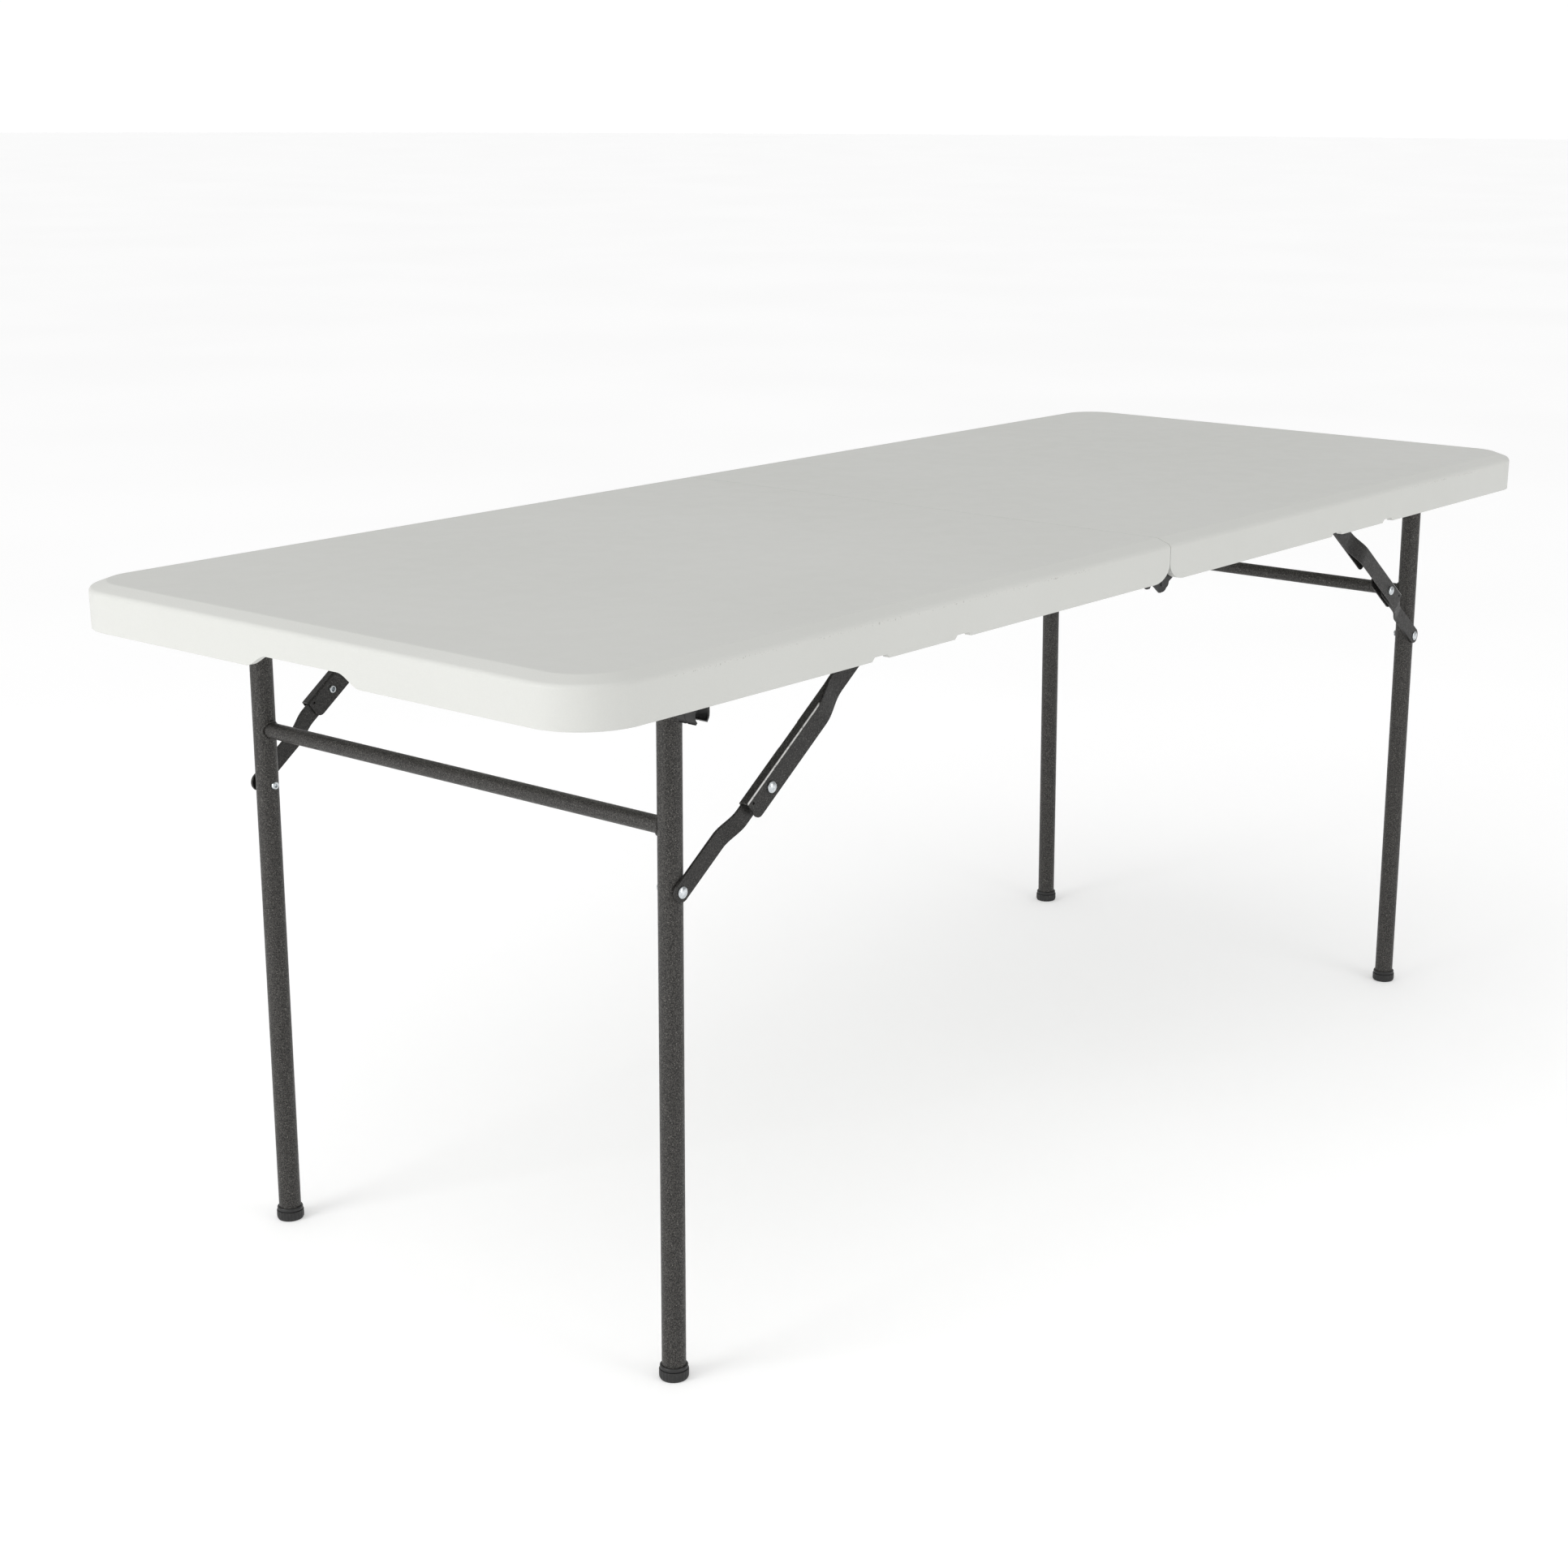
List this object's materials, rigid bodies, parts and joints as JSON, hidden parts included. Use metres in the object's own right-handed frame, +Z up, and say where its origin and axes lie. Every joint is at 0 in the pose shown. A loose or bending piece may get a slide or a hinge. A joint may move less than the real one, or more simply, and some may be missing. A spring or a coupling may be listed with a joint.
{
  "type": "folding table",
  "caption": "Fold-in-half utility table with a moulded top, folding steel leg frames, two-link leg braces and rubbery foot caps.",
  "frame": {"origin": "centre of the footprint, on the floor", "axes": "+X along the table's length, +Z up, -Y towards the near long side"},
  "size_m": [1.829, 0.73, 0.737],
  "materials": {
    "moulded_top": "fine pebbled, slightly satin, off-white",
    "hammertone_steel": "dark grey hammertone powder coat",
    "hinge_steel": "black coated pressed steel",
    "zinc_plated": "bright zinc plating",
    "black_plastic": "black moulded plastic, satin"
  },
  "bodies": {
    "half_left": {"brace_bracket_left_far": "hammertone_steel", "brace_bracket_left_near": "hammertone_steel", "brace_pivot_rivet_left_far": "zinc_plated", "brace_pivot_rivet_left_near": "zinc_plated", "closing_clip_left_far": "black_plastic", "closing_clip_left_near": "black_plastic", "fold_hinge_leaf_left_far": "hinge_steel", "fold_hinge_leaf_left_near": "hinge_steel", "fold_hinge_pin_far": "zinc_plated", "fold_hinge_pin_near": "zinc_plated", "pivot_bracket_left_far": "hammertone_steel", "pivot_bracket_left_near": "hammertone_steel", "side_rail_left_far": "hammertone_steel", "side_rail_left_near": "hammertone_steel", "tabletop_left": "moulded_top"},
    "half_right": {"brace_bracket_right_far": "hammertone_steel", "brace_bracket_right_near": "hammertone_steel", "brace_pivot_rivet_right_far": "zinc_plated", "brace_pivot_rivet_right_near": "zinc_plated", "fold_hinge_leaf_right_far": "hinge_steel", "fold_hinge_leaf_right_near": "hinge_steel", "pivot_bracket_right_far": "hammertone_steel", "pivot_bracket_right_near": "hammertone_steel", "side_rail_right_far": "hammertone_steel", "side_rail_right_near": "hammertone_steel", "tabletop_right": "moulded_top"},
    "leg_frame_left": {"crossbar_left": "hammertone_steel", "foot_cap_left_far": "black_plastic", "foot_cap_left_near": "black_plastic", "leg_rivet_tail_left_far": "zinc_plated", "leg_rivet_tail_left_near": "zinc_plated", "leg_tube_left_far": "hammertone_steel", "leg_tube_left_near": "hammertone_steel", "pivot_tube_left": "hammertone_steel"},
    "leg_frame_right": {"crossbar_right": "hammertone_steel", "foot_cap_right_far": "black_plastic", "foot_cap_right_near": "black_plastic", "leg_rivet_tail_right_far": "zinc_plated", "leg_rivet_tail_right_near": "zinc_plated", "leg_tube_right_far": "hammertone_steel", "leg_tube_right_near": "hammertone_steel", "pivot_tube_right": "hammertone_steel"},
    "upper_link_left_near": {"upper_link_left_near": "hammertone_steel", "knuckle_rivet_left_near": "zinc_plated"},
    "lower_link_left_near": {"lower_link_left_near": "hammertone_steel", "leg_rivet_head_left_near": "zinc_plated"},
    "upper_link_left_far": {"upper_link_left_far": "hammertone_steel", "knuckle_rivet_left_far": "zinc_plated"},
    "lower_link_left_far": {"lower_link_left_far": "hammertone_steel", "leg_rivet_head_left_far": "zinc_plated"},
    "upper_link_right_near": {"upper_link_right_near": "hammertone_steel", "knuckle_rivet_right_near": "zinc_plated"},
    "lower_link_right_near": {"lower_link_right_near": "hammertone_steel", "leg_rivet_head_right_near": "zinc_plated"},
    "upper_link_right_far": {"upper_link_right_far": "hammertone_steel", "knuckle_rivet_right_far": "zinc_plated"},
    "lower_link_right_far": {"lower_link_right_far": "hammertone_steel", "leg_rivet_head_right_far": "zinc_plated"}
  },
  "joints": [
    {"name": "table_fold", "type": "hinge", "parent": "half_left", "child": "half_right", "pos_m": [0, 0, 0.6875], "axis": [0, 1, 0], "range_deg": [0, 90]},
    {"name": "leg_fold_left", "type": "hinge", "parent": "half_left", "child": "leg_frame_left", "pos_m": [-0.732, 0, 0.7028], "axis": [0, -1, 0], "range_deg": [0, 90.9]},
    {"name": "brace_top_left_near", "type": "hinge", "parent": "half_left", "child": "upper_link_left_near", "pos_m": [-0.4595, -0.312, 0.7028], "axis": [0, 1, 0], "range_deg": [0, 36.32]},
    {"name": "brace_knuckle_left_near", "type": "hinge", "parent": "upper_link_left_near", "child": "lower_link_left_near", "pos_m": [-0.62564, -0.312, 0.5809], "axis": [0, -1, 0], "range_deg": [0, 180.1]},
    {"name": "brace_top_left_far", "type": "hinge", "parent": "half_left", "child": "upper_link_left_far", "pos_m": [-0.4595, 0.312, 0.7028], "axis": [0, 1, 0], "range_deg": [0, 36.32]},
    {"name": "brace_knuckle_left_far", "type": "hinge", "parent": "upper_link_left_far", "child": "lower_link_left_far", "pos_m": [-0.62564, 0.312, 0.5809], "axis": [0, -1, 0], "range_deg": [0, 180.1]},
    {"name": "leg_fold_right", "type": "hinge", "parent": "half_right", "child": "leg_frame_right", "pos_m": [0.732, 0, 0.7028], "axis": [0, 1, 0], "range_deg": [0, 90.9]},
    {"name": "brace_top_right_near", "type": "hinge", "parent": "half_right", "child": "upper_link_right_near", "pos_m": [0.4595, -0.312, 0.7028], "axis": [0, -1, 0], "range_deg": [0, 36.32]},
    {"name": "brace_knuckle_right_near", "type": "hinge", "parent": "upper_link_right_near", "child": "lower_link_right_near", "pos_m": [0.62564, -0.312, 0.5809], "axis": [0, 1, 0], "range_deg": [0, 180.1]},
    {"name": "brace_top_right_far", "type": "hinge", "parent": "half_right", "child": "upper_link_right_far", "pos_m": [0.4595, 0.312, 0.7028], "axis": [0, -1, 0], "range_deg": [0, 36.32]},
    {"name": "brace_knuckle_right_far", "type": "hinge", "parent": "upper_link_right_far", "child": "lower_link_right_far", "pos_m": [0.62564, 0.312, 0.5809], "axis": [0, 1, 0], "range_deg": [0, 180.1]}
  ],
  "couplings": [
    {"joint": "brace_top_left_near", "follows": "leg_fold_left", "ratio": 0.399},
    {"joint": "brace_knuckle_left_near", "follows": "leg_fold_left", "ratio": 1.9802},
    {"joint": "brace_top_left_far", "follows": "leg_fold_left", "ratio": 0.399},
    {"joint": "brace_knuckle_left_far", "follows": "leg_fold_left", "ratio": 1.9802},
    {"joint": "brace_top_right_near", "follows": "leg_fold_right", "ratio": 0.399},
    {"joint": "brace_knuckle_right_near", "follows": "leg_fold_right", "ratio": 1.9802},
    {"joint": "brace_top_right_far", "follows": "leg_fold_right", "ratio": 0.399},
    {"joint": "brace_knuckle_right_far", "follows": "leg_fold_right", "ratio": 1.9802}
  ]
}
